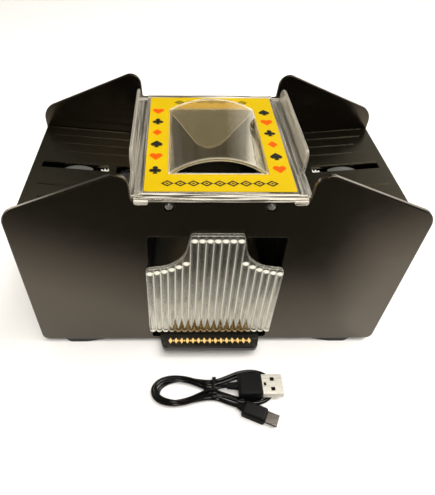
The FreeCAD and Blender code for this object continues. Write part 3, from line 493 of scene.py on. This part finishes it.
# ---- studio ----------------------------------------------------------------------------
def make_world():
    """Plain backdrop; what surfaces reflect is a dim room, lighter towards its back corners
    and high up behind the middle and left, with low screens at the back on the right and on
    the left, and a narrow high one straight in front."""
    world = bpy.data.worlds.new("studio")
    bpy.context.scene.world = world
    world.use_nodes = True
    nodes, links = world.node_tree.nodes, world.node_tree.links

    def step(value, start, stop, low, high):
        made = nodes.new("ShaderNodeMapRange")
        links.new(value, made.inputs["Value"])
        keys = "From Min", "From Max", "To Min", "To Max"
        for key, number in zip(keys, (start, stop, low, high)):
            made.inputs[key].default_value = number
        return made.outputs["Result"]

    def calc(operation, first, second):
        made = nodes.new("ShaderNodeMath")
        made.operation = operation
        links.new(first, made.inputs[0])
        links.new(second, made.inputs[1])
        return made.outputs[0]

    split = nodes.new("ShaderNodeSeparateXYZ")
    links.new(nodes.new("ShaderNodeTexCoord").outputs["Generated"], split.inputs["Vector"])
    x, y, z = split.outputs
    behind = step(y, 0.05, 0.25, 0.0, 1.0)
    corners = calc("ADD", step(x, -0.30, -0.50, 0.0, 0.30), step(x, 0.22, 0.45, 0.0, 0.95))
    right = calc("MULTIPLY", step(x, 0.45, 0.50, 0.0, 1.8), step(z, 0.34, 0.36, 1.0, 0.0))
    right = calc("MULTIPLY", right, step(z, 0.03, 0.08, 0.0, 1.0))
    left = calc("MULTIPLY", step(x, -0.60, -0.66, 0.0, 4.0), step(z, 0.28, 0.32, 1.0, 0.0))
    high_left = calc("MULTIPLY", step(x, -0.02, -0.15, 0.0, 0.55), step(z, 0.60, 0.68, 0.0, 1.0))
    lit = calc("ADD", calc("ADD", corners, high_left), calc("ADD", right, left))
    middle = calc("MULTIPLY", step(x, -0.09, -0.06, 0.0, 1.0), step(x, 0.06, 0.09, 1.0, 0.0))
    front = calc("MULTIPLY", step(y, -0.50, -0.54, 0.0, 5.0), step(z, 0.50, 0.54, 0.0, 1.0))
    room = calc("ADD", step(y, -0.2, 0.2, 0.04, 0.09), calc("MULTIPLY", front, middle))
    strength = calc("ADD", calc("MULTIPLY", lit, behind), room)
    background = nodes["Background"]
    background.inputs["Color"].default_value = (1.0, 0.95, 0.86, 1)
    links.new(strength, background.inputs["Strength"])
    backdrop = nodes.new("ShaderNodeBackground")
    backdrop.inputs["Color"].default_value = (0.90, 0.89, 0.87, 1)
    seen = nodes.new("ShaderNodeMixShader")
    links.new(nodes.new("ShaderNodeLightPath").outputs["Is Camera Ray"], seen.inputs[0])
    links.new(background.outputs[0], seen.inputs[1])
    links.new(backdrop.outputs[0], seen.inputs[2])
    links.new(seen.outputs[0], nodes["World Output"].inputs["Surface"])


def area_light(name, place, aim, size, power, color, glossy=True):
    data = bpy.data.lights.new(name, "AREA")
    data.shape = "RECTANGLE"
    data.size, data.size_y = size
    data.energy = power
    data.color = color
    light = bpy.data.objects.new(name, data)
    light.location = place
    light.rotation_euler = (Vector(aim) - Vector(place)).to_track_quat("-Z", "Y").to_euler()
    light.visible_glossy = glossy
    bpy.context.scene.collection.objects.link(light)


def flat_stage(name, corners, z, first, second):
    """Flat sheet of the studio with a faintly clouded paper face."""
    data = bpy.data.meshes.new(name)
    data.from_pydata([(x, y, z) for x, y in corners], [], [tuple(range(len(corners)))])
    sheet = bpy.data.objects.new(name, data)
    bpy.context.scene.collection.objects.link(sheet)
    shader = Shader(name + "_paper", first, 0.8)
    shader.feed("Base Color", shader.mix(shader.noise(0.3), first, second))
    data.materials.append(shader.material)
    return sheet, shader


def square(reach):
    return [(-reach, -reach), (reach, -reach), (reach, reach), (-reach, reach)]


def make_floor():
    """Pale floor, and a dark soft-edged sheet on it that only glossy reflections see: painted shade
    of the floor in front of and around the object.
    """
    flat_stage("floor", square(6.0), 0, (0.97, 0.97, 0.97), (0.95, 0.95, 0.95))
    # Dark sheet seen only in reflections: painted shade on the floor.
    shade_sheet, shader = flat_stage("shade_sheet", square(0.6), 0.0006, (0.05, 0.045, 0.035),
                              (0.04, 0.036, 0.028))
    x, y = shader.axes()[:2]
    past_left = shader.span(x, 0.0, 0.140, -0.01, -0.40)
    past_right = shader.calc("ADD", shader.span(x, 0.0, 0.055, 0.085, 0.135),
                             shader.span(x, 0.0, 0.042, 0.135, 0.235))
    setback = shader.calc("ADD", past_left, past_right)
    depth = shader.calc("SUBTRACT", shader.product(y, -1.0), setback)
    in_front = shader.span(depth, 0, 1, 0.050, 0.110)
    outside = shader.span(shader.size(x), 0, 1, 0.105, 0.160)
    beside = shader.product(outside, shader.span(y, 0, 1, -0.05, -0.03))
    behind = shader.span(y, 0, 1, 0.060, 0.120)
    shader.feed("Alpha", shader.calc("MAXIMUM", in_front, shader.calc("MAXIMUM", beside, behind)))
    shade_sheet.visible_camera = False
    shade_sheet.visible_shadow = False
    shade_sheet.visible_diffuse = False


make_world()
area_light("key", (0.55, 0.15, 1.05), (0, 0, 0), (0.7, 0.7), 9, (1.0, 0.97, 0.92))
area_light("fill", (0.0, -0.45, 1.2), (0, -0.05, 0.05), (0.8, 0.8), 15, (1.0, 0.96, 0.90),
           glossy=False)
make_floor()
bpy.context.scene.view_settings.view_transform = "Standard"


# ---- printed sheet and bar -------------------------------------------------------------
PRINT_HEIGHT = 0.00004


def flat_print(name, outlines, z, body, material):
    """Thin raised ink of several closed outlines of (x, y) points in millimetres."""
    mesh = bmesh.new()
    for outline in outlines:
        face = mesh.faces.new([mesh.verts.new((x * MM, y * MM, z)) for x, y in outline])
        face.normal_update()
        if face.normal.z < 0:
            face.normal_flip()
    bmesh.ops.triangulate(mesh, faces=mesh.faces[:])
    made = bmesh.ops.extrude_face_region(mesh, geom=mesh.faces[:])
    lifted = [v for v in made["geom"] if isinstance(v, bmesh.types.BMVert)]
    bmesh.ops.translate(mesh, verts=lifted, vec=(0, 0, PRINT_HEIGHT))
    bmesh.ops.recalc_face_normals(mesh, faces=mesh.faces[:])
    data = bpy.data.meshes.new(name)
    mesh.to_mesh(data)
    mesh.free()
    data.materials.append(material)
    piece = bpy.data.objects.new(name, data)
    bpy.context.scene.collection.objects.link(piece)
    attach(piece, body)
    return piece


def arc(cx, cy, r, start, stop, steps):
    """Points along a circle's arc, angles in degrees."""
    angles = [math.radians(start + (stop - start) * k / steps) for k in range(steps + 1)]
    return [(cx + r * math.cos(a), cy + r * math.sin(a)) for a in angles]


def diamond():
    return [[(0, -0.5), (0.42, 0), (0, 0.5), (-0.42, 0)]]


def heart():
    return [[(0, -0.5)] + arc(0.24, 0.17, 0.27, -28, 155, 14) + arc(-0.24, 0.17, 0.27, 25, 208, 14)]


def stem():
    return [(-0.20, -0.5), (0.20, -0.5), (0.05, -0.1), (-0.05, -0.1)]


def spade():
    leaf = [(0, 0.5)] + arc(-0.23, -0.05, 0.25, 152, 325, 14) + arc(0.23, -0.05, 0.25, 215, 388, 14)
    return [leaf, stem()]


def club():
    leaves = [arc(x, y, 0.21, 0, 340, 17) for x, y in ((0, 0.27), (-0.25, -0.08), (0.25, -0.08))]
    return leaves + [arc(0, 0, 0.14, 0, 340, 17), stem()]


SUITS = {"heart": (heart, "red"), "diamond": (diamond, "red"),
         "spade": (spade, "black"), "club": (club, "black")}
LEFT_COLUMN = ["heart", "club", "diamond", "spade", "heart", "club"]
RIGHT_COLUMN = ["spade", "heart", "club", "diamond", "spade", "heart"]
SUIT_SIZE = 6.3
HOLLOW, PIP = 0.56, 0.26    # inner edge and middle mark of a lozenge, as shares of its size
PANEL_MIDDLE_Y = 5.2        # middle between the two panels, from the middle of the CAD frame


def column(names, x, y_back, y_front):
    """Places one suit after another from back to front; gives outlines by colour."""
    placed = {"red": [], "black": []}
    for k, name in enumerate(names):
        y = y_back + (y_front - y_back) * k / (len(names) - 1)
        shape, color = SUITS[name]
        for outline in shape():
            placed[color].append([(x + SUIT_SIZE * a, y + SUIT_SIZE * b) for a, b in outline])
    return placed


def lozenge_chain(x0, x1, y, height, count):
    """Row of hollow lozenges that touch at their tips, each with a small solid one inside."""
    half_width = (x1 - x0) / count / 2
    outlines = []
    for k in range(count):
        middle = x0 + (2 * k + 1) * half_width

        def tips(share):
            return [(middle + share * half_width, y), (middle, y + share * height / 2),
                    (middle - share * half_width, y), (middle, y - share * height / 2)]

        outer, inner = tips(1.0), tips(HOLLOW)
        for i in range(4):
            j = (i + 1) % 4
            outlines.append([outer[i], outer[j], inner[j], inner[i]])
        outlines.append(tips(PIP))
    return outlines


def make_label_print():
    """Suits at the sides, and a chain of lozenges at the front and at the back."""
    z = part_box("top_label")[1].z
    left = column(LEFT_COLUMN, -29.8, 27.0 + PANEL_MIDDLE_Y, -29.2 + PANEL_MIDDLE_Y)
    right = column(RIGHT_COLUMN, 29.2, 26.2 + PANEL_MIDDLE_Y, -28.4 + PANEL_MIDDLE_Y)
    black = ink("ink_black", (0.010, 0.010, 0.008), (0.020, 0.018, 0.012))
    red = ink("ink_red", (0.76, 0.07, 0.0), (0.70, 0.09, 0.0))
    bands = lozenge_chain(-27.0, 27.0, -39.6 + PANEL_MIDDLE_Y, 4.6, 9)
    bands += lozenge_chain(-21.0, 21.0, 37.4 + PANEL_MIDDLE_Y, 4.4, 7)
    dark = left["black"] + right["black"] + bands
    flat_print("label_print_black", dark, z, "cover", black)
    flat_print("label_print_red", left["red"] + right["red"], z, "cover", red)


def make_bar_print():
    """Gilt row of tall and small lozenges."""
    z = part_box("press_bar")[1].z
    gold = ink("ink_gold", (0.85, 0.52, 0.16), (0.95, 0.66, 0.28))
    pitch, places = 3.3, 7
    y = -57.0 + PANEL_MIDDLE_Y

    def mark(x, half_width, half_height):
        return [(x + half_width, y), (x, y + half_height),
                (x - half_width, y), (x, y - half_height)]

    marks = []
    for k in range(-places, places + 1):
        marks.append(mark(k * pitch, 1.15, 2.0))
        if k < places:
            marks.append(mark(k * pitch + pitch / 2, 0.42, 0.75))
    flat_print("bar_print", marks, z, "press_lever", gold)


make_label_print()
make_bar_print()


# ---- materials of the CAD nodes ----------------------------------------------------------
def paint(material, *names):
    for name in names:
        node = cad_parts[name]
        node.data.materials.clear()
        node.data.materials.append(material)


def pair(*names):
    return [side + name for name in names for side in ("left_", "right_")]


white_acetal = moulded("white_acetal", (0.80, 0.79, 0.74), (0.72, 0.71, 0.66), 0.35, 0.0005,
                       0.000006, Subsurface_Weight=0.1, Subsurface_Scale=0.001).material
grey_acetal = moulded("grey_acetal", (0.065, 0.065, 0.06), (0.085, 0.085, 0.078), 0.45, 0.0005,
                      0.000006).material
black_acetal = moulded("black_acetal", (0.010, 0.010, 0.010), (0.014, 0.014, 0.013), 0.25, 0.0005,
                       0.000006, edge=0.0002).material
steel = metal("shaft_steel", (0.62, 0.62, 0.62), (0.50, 0.50, 0.51), 0.22, (1, 0.05, 1))
brass = metal("bush_brass", (0.70, 0.50, 0.22), (0.60, 0.42, 0.18), 0.3, (1, 0.05, 1))
zinc = metal("screw_steel", (0.75, 0.75, 0.72), (0.62, 0.62, 0.60), 0.28, (1, 1, 1))
can = metal("motor_can", (0.58, 0.58, 0.57), (0.48, 0.48, 0.48), 0.3, (1, 0.05, 1))
dark_nickel = metal("plug_metal_dark", (0.13, 0.115, 0.10), (0.06, 0.054, 0.048), 0.22,
                    (0.05, 1, 1), 0.8)
plug_black = moulded("plug_black", (0.003, 0.003, 0.0035), (0.005, 0.005, 0.0055), 0.42, 0.0004,
                     0.00001, edge=0.0003, Specular_IOR_Level=0.2).material
cord_black = moulded("cord_black", (0.0010, 0.0010, 0.0012), (0.0018, 0.0018, 0.0020), 0.10, 0.0007,
                     0.000004, Specular_IOR_Level=0.55).material

paint(satin_black(), "front_panel", "back_panel", *pair("end_wall"))
paint(tray_black(), *pair("feed_tray"))
paint(inner_black(), "base_plate", "well_collar", "well_floor", "press_bar_pin", "press_switch",
      *pair("well_wall", "gear_plate"))
paint(bar_black(), "press_bar")
paint(clear_cover(), "clear_cover")
paint(clear_dome(), "cover_dome")
paint(clear_tray(), "card_tray")
paint(label_yellow(), "top_label")
paint(rubber("foot_rubber", (0.012, 0.012, 0.012), (0.02, 0.02, 0.019), 0.6), "rubber_feet")
paint(rubber("tyre_rubber", (0.02, 0.02, 0.02), (0.035, 0.034, 0.032), 0.65),
      "battery_pad", *pair("feed_tyre"))
paint(zinc, "case_screws", "motor_screws")
paint(steel, "press_bar_spring", "gear_pins", "usb_inlet", *pair("feed_shaft", "motor_shaft"))
paint(brass, "shaft_bushes", *pair("motor_pinion"))
paint(can, *pair("motor"))
paint(white_acetal, "switch_plunger", *pair("idler_gear", "compound_gear"))
paint(grey_acetal, *pair("drive_gear", "gear_cover"))
paint(black_acetal, *pair("feed_gear"))
paint(circuit_green(), "circuit_board")
paint(moulded("cell_blue", (0.03, 0.12, 0.40), (0.04, 0.15, 0.46), 0.3, 0.001, 0.00002).material,
      "battery_pack")
paint(rubber("wire_red", (0.5, 0.02, 0.02), (0.42, 0.02, 0.02), 0.4),
      "motor_leads", "battery_leads")
paint(cord_black, "lead_tie")
paint(plug_black, "usb_a_plug", "small_plug")
paint(plug_shell(), "usb_a_shell")
paint(dark_nickel, "small_shell")
lead.data.materials.append(cord_black)

bpy.context.view_layer.update()
